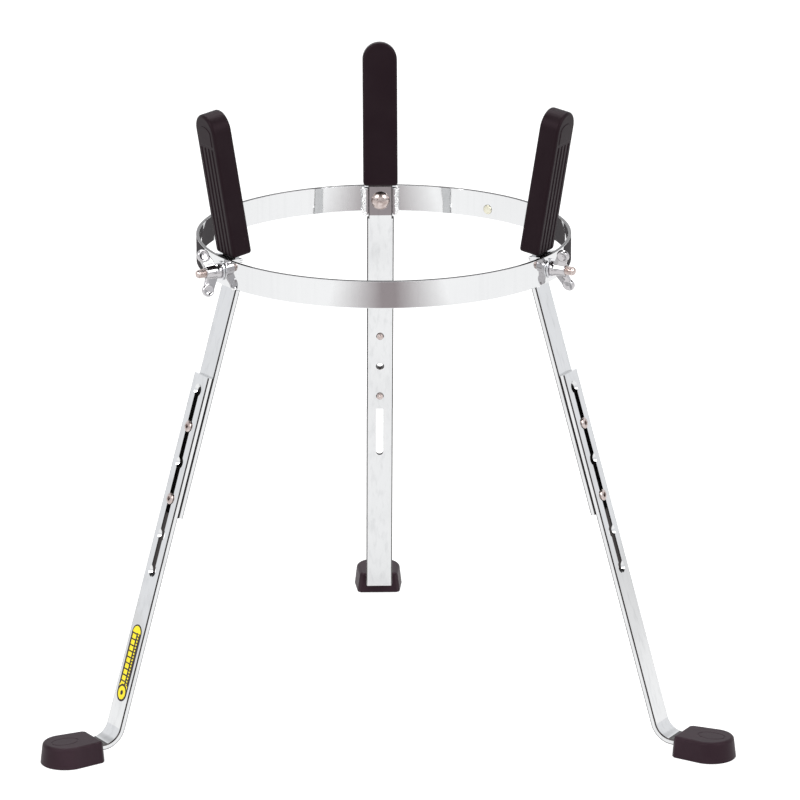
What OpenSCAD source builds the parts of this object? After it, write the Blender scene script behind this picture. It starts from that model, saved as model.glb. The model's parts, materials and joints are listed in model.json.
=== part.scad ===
// Height-adjustable basket stand for a hand drum.
// A chromed ring hangs between three legs. Each leg is an upper bar, clamped in a socket inside the ring by a
// carriage bolt and a wing nut, and a slotted lower bar that slides on it and ends in a rubber foot.
// Above the ring each upper bar leans outwards and carries the rubber pad that the drum rests against.
// The floor is z = 0 and the ring's axis is the Z axis.

/* [Ring] */
// Outside radius of the ring
ring_radius = 170; // [150:1:190]
// Height of the ring's top edge above the floor
ring_top = 447; // [430:1:480]
// Height of the flat band that the ring is rolled from
band_height = 25; // [24:0.5:28]
// Thickness of the band
band_thickness = 3; // [2:0.5:4]

/* [Legs] */
// Width of the flat leg bars
bar_width = 25; // [24:0.5:30]
// Thickness of the upper bar
upper_thickness = 5; // [4:0.5:6]
// Thickness of the lower bar
lower_thickness = 5; // [4:0.5:6]
// Lean of the legs away from the vertical, in degrees
leg_lean = 16.8; // [14:0.1:18]
// Distance from the kink under the ring to the upper bar's lower end
upper_bar_length = 214; // [210:1:225]
// Distance between two neighbouring height settings
height_pitch = 33.8; // [30:0.1:34]
// Number of height settings in the slot
height_settings = 6; // [5:1:6]

/* [Arms] */
// Lean of the arms away from the vertical, in degrees
arm_lean = 9.7; // [6:0.1:12]
// Length of the rubber pad on each arm
pad_length = 133.3; // [110:0.1:140]
// Width of the rubber pad
pad_width = 32; // [30:0.5:36]
// Rubber between the arm and the drum
pad_inner_wall = 10.7; // [8:0.1:12]
// Rubber on the arm's outer face
pad_outer_wall = 3.7; // [3:0.1:4]

/* [Feet] */
// Largest width of a foot
foot_width = 46; // [42:1:50]
// Length of a foot, measured away from the ring's axis
foot_length = 53; // [50:1:60]
// Height of a foot
foot_height = 19.5; // [18:0.5:24]

/* [Clamps] */
// Diameter of the carriage bolt's thread
bolt_diameter = 8; // [6:0.5:8]
// Diameter of the carriage bolt's round head
bolt_head_diameter = 17.2; // [15:0.1:18]
// Tip-to-tip span of the wing nut
wing_span = 43; // [38:0.5:46]
// Diameter of the screws that lock the height
height_screw_diameter = 6; // [5:0.5:6]

/* [Hidden] */
$fn = 96;

// Directions of the three stations around the ring
back = 90;
left = 210;
right = 330;

// Clearances
free_gap = 0.3;
slide_gap = 0.2;
running_gap = 0.05;
nest_gap = 0.1;
cut = 1;
fuse = 0.02;

// Ring and sockets
ring_inside = ring_radius - band_thickness;
ring_bottom = ring_top - band_height;
bolt_height = ring_top - band_height / 2;
rivet_direction = 53.6;
rivet_level = bolt_height - 3.5;
rivet_diameter = 9;
rivet_head_height = 1.2;
rivet_hole_diameter = 5;
socket_web = 5;
socket_wall = 3;
socket_depth = 7;
socket_drop = 1.5;
weld_radius = 2.2;
weld_inset = 1.2;
neck_width = bar_width - 2.6;
socket_width = neck_width + 2 * free_gap;
socket_face = ring_inside - socket_web;

// Upper bar: clamped upright between its two kinks
clamp_face = socket_face - free_gap;
leg_kink = ring_bottom - socket_drop - 1;
arm_kink = ring_top + 1;
arm_length = 122;
bar_corner = 2;
spare_hole_radius = height_screw_diameter / 2 + 0.25;

// Pads
pad_start = 0.5;
pad_corner = 2.5;
groove_count = 4;
groove_pitch = 6.1;
groove_width = 2.6;
groove_depth = 1.1;
groove_length = pad_length - 32;

// Lower bar: u runs down the leg from the kink, n points away from the ring's axis
first_setting = 98;
lower_bar_start = first_setting - 14;
slot_width = height_screw_diameter + 0.8;
countersink_diameter = 11.6;
countersink_depth = (countersink_diameter - slot_width) / 2;
last_setting = first_setting + (height_settings - 1) * height_pitch;
bend_radius = 22;
bend_steps = 16;
foot_bar_height = 8.8;
bend_centre_z = foot_bar_height + bend_radius;
bend_centre_r = clamp_face + (slide_gap + bend_radius + (leg_kink - bend_centre_z) * sin(leg_lean)) / cos(leg_lean);
foot_start = bend_centre_r + 3;
bar_in_foot = 36;

// Feet
foot_end_radius = foot_width / 2;
foot_heel_width = foot_width - 5;
foot_heel_corner = 3;

// Fasteners
thread_radius = bolt_diameter / 2;
bolt_tip = ring_radius + 24.5;
bolt_head_height = 4.6;
bolt_neck_size = bolt_diameter;
washer_radius = 9;
washer_thickness = 1.6;
nut_base_radius = 7;
nut_tip_radius = 5.8;
nut_length = 14.7;
nut_start = ring_radius + washer_thickness + running_gap;
ear_radius = 5.8;
ear_thickness = 4.2;
ear_dish_radius = 4.2;
ear_dish_depth = 0.9;
ear_offset = wing_span / 2 - ear_radius;
ear_axial = 14;
wing_thickness = 3;
wing_turn_back = -14;
wing_turn_left = 16;
wing_turn_right = 21;
screw_radius = height_screw_diameter / 2;
screw_head_radius = 5.2;
screw_head_height = 1.8;
screw_head_gap = 0.1;
screw_tip_length = 3;
hex_key_size = 4;
hex_key_depth = 1.2;

// Label
label_length = 72;
label_width = 16;
label_thickness = 0.3;
label_centre_u = 354;

// ---- placing ----

// Turns a part drawn at a station on +X round to its own station
module station(direction) {
    rotate([0, 0, direction]) children();
}

// Local frame of the leg: +X is n, away from the axis, +Z is up the leg, origin at the kink's outer face
module leg_frame() {
    translate([clamp_face, 0, leg_kink])
        rotate([0, -leg_lean, 0])
            children();
}

// Local frame of the arm: +X points away from the axis, +Z runs up the arm
module arm_frame() {
    translate([clamp_face, 0, arm_kink])
        rotate([0, arm_lean, 0])
            children();
}

// Cylinder along +X that starts at x = from
module x_cylinder(from, to, radius, end_radius = -1) {
    far_radius = end_radius < 0 ? radius : end_radius;
    translate([from, 0, 0])
        rotate([0, 90, 0])
            cylinder(h = to - from, r1 = radius, r2 = far_radius);
}

// Flat bar along Z between two heights, its outer face at x = face
module flat_bar(width, thickness, face, low, high) {
    translate([face - thickness, -width / 2, low])
        cube([thickness, width, high - low]);
}

// Outline of a bar end with two rounded corners, in the YZ plane, as a tool that runs along X
module rounded_end(width, corner, length, reach) {
    rotate([90, 0, 90])
        linear_extrude(height = 2 * reach, center = true) {
            translate([-width / 2, corner])
                square([width, length - corner]);
            translate([-width / 2 + corner, 0])
                square([width - 2 * corner, length]);
            for (side = [-1, 1])
                translate([side * (width / 2 - corner), corner])
                    circle(r = corner);
        }
}

// ---- ring ----

module ring() {
    color("silver")
        difference() {
            rotate_extrude()
                translate([ring_inside, ring_bottom])
                    square([band_thickness, band_height]);
            for (direction = [back, left, right])
                station(direction)
                    translate([0, 0, bolt_height])
                        x_cylinder(ring_inside - 5, ring_radius + 5, thread_radius + free_gap);
            station(rivet_direction)
                translate([0, 0, rivet_level])
                    x_cylinder(ring_inside - 5, ring_radius + 5, rivet_hole_diameter / 2);
        }
}

module ring_rivet() {
    color("gainsboro")
        station(rivet_direction)
            translate([0, 0, rivet_level]) {
                x_cylinder(ring_inside - 1, ring_radius - 0.2, rivet_hole_diameter / 2);
                x_cylinder(ring_inside - 0.2 - rivet_head_height, ring_inside - 0.2, rivet_diameter / 2 - 0.6, rivet_diameter / 2);
            }
}

// U-shaped socket welded inside the ring; its flanges hold the bar's neck from both sides
module socket(direction) {
    outer_width = socket_width + 2 * socket_wall;
    low = ring_bottom - socket_drop;
    color("silver")
        station(direction)
            difference() {
                intersection() {
                    union() {
                        translate([socket_face - socket_depth, -outer_width / 2, low])
                            cube([socket_web + socket_depth, outer_width, ring_top - low]);
                        for (side = [-1, 1])
                            translate([ring_inside - weld_inset, side * outer_width / 2, ring_bottom])
                                cylinder(h = band_height, r = weld_radius);
                    }
                    translate([0, 0, low - cut])
                        cylinder(h = ring_top - low + 2 * cut, r = ring_inside, $fn = 720);
                }
                translate([socket_face - socket_depth - cut, -socket_width / 2, low - cut])
                    cube([socket_depth + cut, socket_width, ring_top - low + 2 * cut]);
                translate([0, 0, bolt_height])
                    x_cylinder(socket_face - cut, ring_radius, thread_radius + free_gap);
            }
}

// ---- legs ----

// The leaning length inside the pad; with a gap it is the pocket that the pad has for it
module arm_bar(gap) {
    mitre = upper_thickness * tan(arm_lean / 2);
    neck = neck_width + 2 * gap;
    thick = upper_thickness + 2 * gap;
    arm_frame()
        flat_bar(neck, thick, gap, -mitre, arm_length + gap);
}

module upper_leg(direction) {
    leg_mitre = upper_thickness * tan(leg_lean / 2);
    neck_hole = bolt_neck_size + 2 * running_gap;
    color("gainsboro")
        station(direction)
            difference() {
                union() {
                    flat_bar(neck_width, upper_thickness, clamp_face, leg_kink, arm_kink);
                    arm_bar(0);
                    intersection() {
                        leg_frame()
                            flat_bar(bar_width, upper_thickness, 0, -upper_bar_length, leg_mitre);
                        translate([clamp_face - bar_width, -bar_width, 0])
                            cube([ring_radius, 2 * bar_width, leg_kink]);
                        leg_frame()
                            translate([0, 0, -upper_bar_length])
                                rounded_end(bar_width, bar_corner, upper_bar_length + bar_width, bar_width);
                    }
                }
                translate([clamp_face - upper_thickness - cut, -neck_hole / 2, bolt_height - neck_hole / 2])
                    cube([upper_thickness + 2 * cut, neck_hole, neck_hole]);
                for (setting = [1, 3])
                    leg_frame()
                        translate([0, 0, -first_setting - setting * height_pitch])
                            x_cylinder(-upper_thickness - cut, cut, screw_radius + running_gap);
                leg_frame()
                    translate([0, 0, -first_setting - 2 * height_pitch])
                        x_cylinder(-upper_thickness - cut, cut, spare_hole_radius);
            }
}

module arm_pad(direction) {
    straight = pad_length - pad_width / 2;
    depth = pad_inner_wall + upper_thickness + pad_outer_wall;
    color([0.13, 0.12, 0.12])
        station(direction)
            difference() {
                arm_frame()
                    translate([pad_outer_wall - depth, 0, pad_start])
                        rotate([90, 0, 90])
                            linear_extrude(height = depth) {
                                translate([-pad_width / 2, pad_corner])
                                    square([pad_width, straight - pad_corner]);
                                translate([-pad_width / 2 + pad_corner, 0])
                                    square([pad_width - 2 * pad_corner, straight]);
                                for (side = [-1, 1])
                                    translate([side * (pad_width / 2 - pad_corner), pad_corner])
                                        circle(r = pad_corner);
                                translate([0, straight])
                                    circle(r = pad_width / 2);
                            }
                arm_bar(nest_gap);
                for (k = [0 : groove_count - 1])
                    arm_frame()
                        translate([pad_outer_wall - groove_depth, (k - (groove_count - 1) / 2) * groove_pitch, 0])
                            translate([0, -groove_width / 2, pad_start - cut])
                                cube([groove_depth + cut, groove_width, groove_length + cut]);
            }
}

// A point on the leg's side view: u down the leg from the kink, n away from the ring's axis
function leg_point(u, n) = [
    clamp_face + u * sin(leg_lean) + n * cos(leg_lean),
    leg_kink - u * cos(leg_lean) + n * sin(leg_lean)
];

// Points of the bend at one radius, from the straight length round to the horizontal
function bend_points(radius) = [
    for (k = [0 : bend_steps])
        let (angle = 180 + leg_lean + (90 - leg_lean) * k / bend_steps)
            [bend_centre_r + radius * cos(angle), bend_centre_z + radius * sin(angle)]
];

function reversed(points) = [for (k = [len(points) - 1 : -1 : 0]) points[k]];

// Straight slotted length, the bend to the horizontal and the tongue inside the foot
module lower_leg(direction) {
    face = slide_gap + lower_thickness;
    tongue_end = foot_start + bar_in_foot;
    color("gainsboro")
        station(direction)
            difference() {
                intersection() {
                    rotate([90, 0, 0])
                        linear_extrude(height = bar_width, center = true)
                            polygon(concat(
                                [leg_point(lower_bar_start, slide_gap)],
                                bend_points(bend_radius),
                                [[tongue_end, foot_bar_height], [tongue_end, foot_bar_height + lower_thickness]],
                                reversed(bend_points(bend_radius - lower_thickness)),
                                [leg_point(lower_bar_start, face)]
                            ));
                    leg_frame()
                        translate([0, 0, -lower_bar_start])
                            rotate([180, 0, 0])
                                rounded_end(bar_width, bar_corner, leg_kink, 2 * ring_radius);
                }
                leg_frame() {
                    for (setting = [0 : height_settings - 1])
                        translate([0, 0, -first_setting - setting * height_pitch]) {
                            x_cylinder(-cut, face + cut, slot_width / 2);
                            x_cylinder(face - countersink_depth, face + fuse, slot_width / 2, countersink_diameter / 2 + fuse);
                        }
                    translate([-cut, -slot_width / 2, -last_setting])
                        cube([face + 2 * cut, slot_width, last_setting - first_setting]);
                }
            }
}

module foot(direction) {
    arc_centre = foot_length - foot_end_radius;
    color([0.2, 0.17, 0.18])
        station(direction)
            difference() {
                translate([foot_start, 0, 0])
                    linear_extrude(height = foot_height) {
                        translate([arc_centre, 0])
                            circle(r = foot_end_radius);
                        polygon([
                            [0, -foot_heel_width / 2 + foot_heel_corner],
                            [foot_heel_corner, -foot_heel_width / 2],
                            [arc_centre, -foot_end_radius],
                            [arc_centre, foot_end_radius],
                            [foot_heel_corner, foot_heel_width / 2],
                            [0, foot_heel_width / 2 - foot_heel_corner]
                        ]);
                    }
                translate([foot_start - cut, -bar_width / 2 - nest_gap, foot_bar_height - nest_gap])
                    cube([bar_in_foot + cut + nest_gap, bar_width + 2 * nest_gap, lower_thickness + 2 * nest_gap]);
            }
}

// ---- fasteners ----

module carriage_bolt(direction) {
    head_face = clamp_face - upper_thickness;
    head_radius = bolt_head_diameter / 2;
    dome_radius = (head_radius * head_radius + bolt_head_height * bolt_head_height) / (2 * bolt_head_height);
    color("tan")
        station(direction)
            translate([0, 0, bolt_height]) {
                x_cylinder(clamp_face - cut, bolt_tip, thread_radius);
                translate([head_face, -bolt_neck_size / 2, -bolt_neck_size / 2])
                    cube([upper_thickness, bolt_neck_size, bolt_neck_size]);
                intersection() {
                    translate([head_face - bolt_head_height + dome_radius, 0, 0])
                        sphere(r = dome_radius);
                    x_cylinder(head_face - bolt_head_height, head_face, head_radius);
                }
            }
}

module washer(direction) {
    color("silver")
        station(direction)
            translate([0, 0, bolt_height])
                difference() {
                    x_cylinder(ring_radius + running_gap, nut_start, washer_radius);
                    x_cylinder(ring_radius - cut, nut_start + cut, thread_radius + running_gap);
                }
}

// Turned body with two flat wings that lean away from the ring and end in dished round ears
module wing_nut(direction, turn) {
    color("lightgray")
        station(direction)
            translate([0, 0, bolt_height])
                rotate([turn, 0, 0])
                    difference() {
                        union() {
                            x_cylinder(nut_start, nut_start + nut_length, nut_base_radius, nut_tip_radius);
                            for (side = [-1, 1])
                                nut_wing(side);
                        }
                        x_cylinder(nut_start - cut, nut_start + nut_length + cut, thread_radius + running_gap);
                    }
}

module nut_wing(side) {
    ear_x = nut_start + ear_axial;
    ear_z = side * ear_offset;
    rotate([90, 0, 0])
        linear_extrude(height = wing_thickness, center = true)
            polygon([
                [nut_start + 2.5, side * (thread_radius + 1.2)],
                [nut_start + 3.5, side * nut_base_radius],
                [ear_x - ear_radius * 0.85, ear_z + side * ear_radius * 0.35],
                [ear_x + ear_radius * 0.5, ear_z - side * ear_radius * 0.6],
                [nut_start + nut_length - 0.8, side * nut_tip_radius],
                [nut_start + nut_length - 0.8, side * (thread_radius + 1.2)]
            ]);
    translate([ear_x, 0, ear_z])
        rotate([90, 0, 0])
            difference() {
                cylinder(h = ear_thickness, r = ear_radius, center = true);
                for (face = [-1, 1])
                    translate([0, 0, face * (ear_thickness / 2)])
                        cylinder(h = 2 * ear_dish_depth, r = ear_dish_radius, center = true);
            }
}

// Socket screw through the slot, drawn slackened so that its head just clears the lower bar
module height_screw(direction, setting) {
    head_start = slide_gap + lower_thickness + screw_head_gap;
    color("silver")
        station(direction)
            leg_frame()
                translate([0, 0, -first_setting - setting * height_pitch])
                    difference() {
                        union() {
                            x_cylinder(-upper_thickness - screw_tip_length, head_start + cut, screw_radius);
                            x_cylinder(head_start, head_start + screw_head_height, screw_head_radius, screw_head_radius - 0.7);
                        }
                        translate([head_start + screw_head_height - hex_key_depth, 0, 0])
                            rotate([0, 90, 0])
                                cylinder(h = hex_key_depth + cut, r = hex_key_size / sqrt(3), $fn = 6);
                    }
}

module leg_label() {
    straight = label_length - label_width;
    color("gold")
        station(left)
            leg_frame()
                translate([slide_gap + lower_thickness, 0, -label_centre_u])
                    rotate([90, 0, 90])
                        linear_extrude(height = label_thickness) {
                            square([label_width, straight], center = true);
                            for (end = [-1, 1])
                                translate([0, end * straight / 2])
                                    circle(r = label_width / 2);
                        }
}

// ---- nodes ----

ring();
ring_rivet();
socket(back);  // socket_back
socket(left);  // socket_left
socket(right);  // socket_right
upper_leg(back);  // upper_leg_back
upper_leg(left);  // upper_leg_left
upper_leg(right);  // upper_leg_right
arm_pad(back);  // arm_pad_back
arm_pad(left);  // arm_pad_left
arm_pad(right);  // arm_pad_right
carriage_bolt(back);  // carriage_bolt_back
carriage_bolt(left);  // carriage_bolt_left
carriage_bolt(right);  // carriage_bolt_right
washer(back);  // washer_back
washer(left);  // washer_left
washer(right);  // washer_right
wing_nut(back, wing_turn_back);  // wing_nut_back
wing_nut(left, wing_turn_left);  // wing_nut_left
wing_nut(right, wing_turn_right);  // wing_nut_right
lower_leg(back);  // lower_leg_back
lower_leg(left);  // lower_leg_left
lower_leg(right);  // lower_leg_right
height_screw(back, 1);  // height_screw_back_high
height_screw(left, 1);  // height_screw_left_high
height_screw(right, 1);  // height_screw_right_high
height_screw(back, 3);  // height_screw_back_low
height_screw(left, 3);  // height_screw_left_low
height_screw(right, 3);  // height_screw_right_low
foot(back);  // foot_back
foot(left);  // foot_left
foot(right);  // foot_right
leg_label();
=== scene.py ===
"""Looks of a height-adjustable drum basket stand: chromed ring and legs, rubber pads and feet."""

import json
import math
import random

import bmesh
import bpy
from mathutils import Matrix, Vector


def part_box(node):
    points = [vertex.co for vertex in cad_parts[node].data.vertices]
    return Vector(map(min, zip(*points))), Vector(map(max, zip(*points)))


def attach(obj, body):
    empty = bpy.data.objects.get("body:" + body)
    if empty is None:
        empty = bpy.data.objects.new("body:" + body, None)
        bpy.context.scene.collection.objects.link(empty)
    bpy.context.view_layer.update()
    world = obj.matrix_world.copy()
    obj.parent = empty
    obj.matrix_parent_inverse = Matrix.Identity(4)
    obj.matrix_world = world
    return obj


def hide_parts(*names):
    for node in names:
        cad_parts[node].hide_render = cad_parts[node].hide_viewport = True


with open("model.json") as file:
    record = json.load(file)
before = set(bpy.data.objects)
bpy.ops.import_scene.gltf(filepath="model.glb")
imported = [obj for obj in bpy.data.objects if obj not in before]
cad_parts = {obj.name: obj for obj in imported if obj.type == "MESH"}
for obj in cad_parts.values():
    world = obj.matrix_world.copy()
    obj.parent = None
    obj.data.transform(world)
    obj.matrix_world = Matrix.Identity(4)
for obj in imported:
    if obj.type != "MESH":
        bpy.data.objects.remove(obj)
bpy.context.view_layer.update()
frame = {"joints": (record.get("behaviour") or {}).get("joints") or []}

MM = 0.001
STATIONS = {"back": 90, "left": 210, "right": 330}

# ---- sizes read from the frame ----

ring_low, ring_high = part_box("ring")
RING_RADIUS = ring_high.y
RING_TOP = ring_high.z
RING_BOTTOM = ring_low.z
BAND_THICKNESS = 3 * MM
RING_INSIDE = RING_RADIUS - BAND_THICKNESS
FREE_GAP = 0.3 * MM
RUNNING_GAP = 0.05 * MM
BOLT_HEIGHT = (RING_TOP + RING_BOTTOM) / 2
JOINTS = {joint["name"]: joint for joint in frame["joints"]}
slide_axis = JOINTS["leg_height_back"]["axis"]
LEG_LEAN = math.atan2(-slide_axis[1], slide_axis[2])

# ---- bars ----

bar_low, bar_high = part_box("upper_leg_back")
BAR_WIDTH = bar_high.x - bar_low.x
BAR_THICKNESS = 5 * MM
BAR_EDGE = 1.0 * MM
NECK_STEP = 0.3 * MM
SPARE_RADIUS = 3.3 * MM
SQUARE_HOLE = 8.1 * MM
CLAMP_FACE = bar_low.y + BAR_THICKNESS
LEG_KINK = RING_BOTTOM - 2.5 * MM
ARM_KINK = RING_TOP + 1 * MM
ARM_LEAN = math.radians(9.7)
ARM_LENGTH = 120 * MM
UPPER_LENGTH = 214 * MM
NECK_WIDTH = BAR_WIDTH - 2.6 * MM
KINK_RADIUS = 8 * MM
SLIDE_GAP = 0.2 * MM
PITCH = JOINTS["leg_height_back"]["range_m"][1] / 2
FIRST_SETTING = 98 * MM
SETTINGS = 6
LOWER_START = FIRST_SETTING - 14 * MM
SLOT_WIDTH = 6.8 * MM
COUNTERSINK = 11.6 * MM
BEND_RADIUS = 22 * MM
TONGUE_HEIGHT = 8.8 * MM
SOCKET_FACE = CLAMP_FACE + FREE_GAP

# ---- rubber ----

PAD_WIDTH = 32 * MM
PAD_LENGTH = 133.3 * MM
PAD_START = 0.5 * MM
PAD_INNER = 10.7 * MM
PAD_OUTER = 3.7 * MM
PAD_EDGE = 2.6 * MM
GROOVES = 4
GROOVE_PITCH = 6.1 * MM
GROOVE_RADIUS = 1.5 * MM
foot_low, foot_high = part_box("foot_back")
FOOT_START = foot_low.y
FOOT_LENGTH = foot_high.y - foot_low.y
FOOT_WIDTH = foot_high.x - foot_low.x
FOOT_HEIGHT = foot_high.z
FOOT_HEEL = FOOT_WIDTH - 5 * MM
FOOT_TAPER = 2.2 * MM
FOOT_EDGE = 2.8 * MM

# ---- fasteners ----

THREAD_RADIUS = 4 * MM
THREAD_PITCH = 1.25 * MM
BOLT_HEAD_RADIUS = 8.6 * MM
BOLT_HEAD_HEIGHT = 4.6 * MM
BOLT_TIP = RING_RADIUS + 24.5 * MM
WASHER_RADIUS = 9 * MM
WASHER_THICKNESS = 1.6 * MM
NUT_START = RING_RADIUS + WASHER_THICKNESS + RUNNING_GAP
NUT_LENGTH = 14.7 * MM
NUT_TURN = {"back": -14, "left": 16, "right": 21}
EAR_RADIUS = 5.75 * MM
EAR_THICKNESS = 4.2 * MM
EAR_OFFSET = 15.7 * MM
EAR_AXIAL = 14 * MM
SCREW_RADIUS = 3 * MM
SCREW_HEAD_RADIUS = 5.2 * MM
SCREW_HEAD_HEIGHT = 1.8 * MM
SCREW_TIP = 3 * MM
RIVET_DIRECTION = 53.6
RIVET_DROP = 3.5 * MM
LABEL_LENGTH = 72 * MM
LABEL_WIDTH = 16 * MM
LABEL_CENTRE = 354 * MM


# ---- angles in degrees ----

def cosine(angle):
    return math.cos(math.radians(angle))


def sine(angle):
    return math.sin(math.radians(angle))


# ---- frames of the stations, legs and arms ----

def station(direction):
    """Turns a piece made on +X round to its station."""
    return Matrix.Rotation(math.radians(direction), 4, "Z")


def leg_frame(direction):
    """+X away from the ring's axis, +Z up the leg, origin where the leg leans out from under the ring."""
    place = Matrix.Translation((CLAMP_FACE, 0, LEG_KINK))
    return station(direction) @ place @ Matrix.Rotation(-LEG_LEAN, 4, "Y")


def arm_frame(direction):
    """+X away from the ring's axis, +Z up the arm."""
    place = Matrix.Translation((CLAMP_FACE, 0, ARM_KINK))
    return station(direction) @ place @ Matrix.Rotation(ARM_LEAN, 4, "Y")


def bolt_frame(direction, turn=0):
    """+X outwards along the clamping bolt."""
    spin = Matrix.Rotation(math.radians(turn), 4, "X")
    return station(direction) @ Matrix.Translation((0, 0, BOLT_HEIGHT)) @ spin


def rivet_frame():
    return Matrix.Translation((0, 0, -RIVET_DROP)) @ bolt_frame(RIVET_DIRECTION)


def screw_frame(direction, setting):
    """+X outwards along a height screw, origin on the upper bar's outer face."""
    return leg_frame(direction) @ Matrix.Translation((0, 0, -FIRST_SETTING - setting * PITCH))


# ---- mesh tools ----

def make_object(name, bm, place=None, sharp=35):
    """Turns a bmesh into a finished object whose place is in its mesh."""
    if place is not None:
        bmesh.ops.transform(bm, matrix=place, verts=bm.verts)
    bmesh.ops.remove_doubles(bm, verts=bm.verts, dist=1e-6)
    bmesh.ops.recalc_face_normals(bm, faces=bm.faces)
    mesh = bpy.data.meshes.new(name)
    bm.to_mesh(mesh)
    bm.free()
    piece = bpy.data.objects.new(name, mesh)
    bpy.context.scene.collection.objects.link(piece)
    shade(piece, sharp)
    return piece


def shade(piece, sharp):
    piece.data.shade_smooth()
    piece.data.set_sharp_from_angle(angle=math.radians(sharp))


def settle(piece, sharp=35):
    """Bakes the piece's modifiers into its mesh."""
    graph = bpy.context.evaluated_depsgraph_get()
    mesh = bpy.data.meshes.new_from_object(piece.evaluated_get(graph))
    old = piece.data
    piece.modifiers.clear()
    piece.data = mesh
    bpy.data.meshes.remove(old)
    shade(piece, sharp)
    return piece


def carve(piece, cutters, operation="DIFFERENCE", sharp=35):
    """Cuts the tools out of the piece, or welds them on, and removes the tools."""
    for cutter in cutters:
        boolean = piece.modifiers.new("cut", "BOOLEAN")
        boolean.object = cutter
        boolean.operation = operation
        boolean.solver = "EXACT"
    settle(piece, sharp)
    for cutter in cutters:
        bpy.data.objects.remove(cutter)
    return piece


def sharp_edges(bm, limit):
    return [e for e in bm.edges if len(e.link_faces) == 2 and e.calc_face_angle(0) > math.radians(limit)]


def soften(bm, width, segments=3, limit=35, keep=None):
    """Rounds the sharp edges, or those of them that keep() accepts."""
    edges = [e for e in sharp_edges(bm, limit) if keep is None or keep(e)]
    bmesh.ops.bevel(
        bm, geom=edges, offset=width, segments=segments, profile=0.5,
        affect="EDGES", material=-1, clamp_overlap=True
    )


def turned(profile, steps=64):
    """Spins a line of (x, radius) points about the X axis."""
    bm = bmesh.new()
    verts = [bm.verts.new((x, 0, radius)) for x, radius in profile]
    edges = [bm.edges.new(pair) for pair in zip(verts, verts[1:])]
    bmesh.ops.spin(
        bm, geom=verts + edges, cent=(0, 0, 0), axis=(1, 0, 0), dvec=(0, 0, 0),
        angle=math.tau, steps=steps, use_merge=True, use_duplicate=False
    )
    bmesh.ops.remove_doubles(bm, verts=bm.verts, dist=1e-7)
    return bm


def round_corner(centre, radius, start, end, steps=4):
    """Points (x, radius) along an arc, angles in degrees from the +X side."""
    return [
        (centre[0] + radius * math.cos(math.radians(start + (end - start) * k / steps)),
         centre[1] + radius * math.sin(math.radians(start + (end - start) * k / steps)))
        for k in range(steps + 1)
    ]


def rod(start, end, radius, steps=48, end_radius=None):
    """A closed round tool along +X."""
    far = radius if end_radius is None else end_radius
    return turned([(start, 0), (start, radius), (end, far), (end, 0)], steps)


def hull(points):
    """The smallest convex solid round the points, with its flat faces whole."""
    bm = bmesh.new()
    for point in points:
        bm.verts.new(point)
    bmesh.ops.convex_hull(bm, input=bm.verts)
    loose = [v for v in bm.verts if not v.link_faces]
    bmesh.ops.delete(bm, geom=loose, context="VERTS")
    bmesh.ops.dissolve_limit(bm, angle_limit=math.radians(0.5), verts=bm.verts, edges=bm.edges)
    return bm


def block(low, high):
    return hull([(x, y, z) for x in (low[0], high[0]) for y in (low[1], high[1]) for z in (low[2], high[2])])


def level_normals(piece):
    """Lets the big flat faces keep their own direction, so that mirrored lines stay straight across them."""
    weigh = piece.modifiers.new("weigh", "WEIGHTED_NORMAL")
    weigh.keep_sharp = True
    weigh.weight = 50
    graph = bpy.context.evaluated_depsgraph_get()
    mesh = bpy.data.meshes.new_from_object(piece.evaluated_get(graph))
    old = piece.data
    piece.modifiers.clear()
    piece.data = mesh
    bpy.data.meshes.remove(old)


def finish_piece(piece, body, slot, material, *nodes):
    level_normals(piece)
    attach(piece, body)
    if nodes:
        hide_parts(*nodes)
    piece.data.materials.clear()
    piece.data.materials.append(material)
    return piece


def mark_painted_shade(piece, place, amount):
    """Stores how much painted shade each face gets, which darkens and roughens it: painted shade inside bores
    and painted dark reflection lines along rolled edges.
    """
    back = place.inverted()
    turn = back.to_3x3()
    layer = piece.data.attributes.new("painted_shade", "FLOAT", "FACE")
    for face in piece.data.polygons:
        layer.data[face.index].value = amount(back @ face.center, turn @ face.normal)


def upper_painted_shade(spot, normal):
    """Painted shade, dark inside the holes and on their chamfers, and painted grey reflection lines on the
    rounded corners of the bar.
    """
    if abs(spot.y) < COUNTERSINK / 2 and abs(normal.x) < 0.95 and abs(normal.z) < 0.9999:
        return 1.0
    return 1.0 if 0.2 < abs(normal.y) < 0.97 else 0.0


def lower_painted_shade(spot, normal):
    """Painted shade, dark inside the slot but not in the countersinks, and painted grey reflection lines on
    the rounded corners of the bar.
    """
    if abs(spot.y) < COUNTERSINK / 2 and abs(normal.x) < 0.5 and abs(normal.z) < 0.9999:
        return 1.0
    return 1.0 if 0.2 < abs(normal.y) < 0.97 and abs(spot.y) > COUNTERSINK / 2 else 0.0


# ---- shader tools ----

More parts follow.
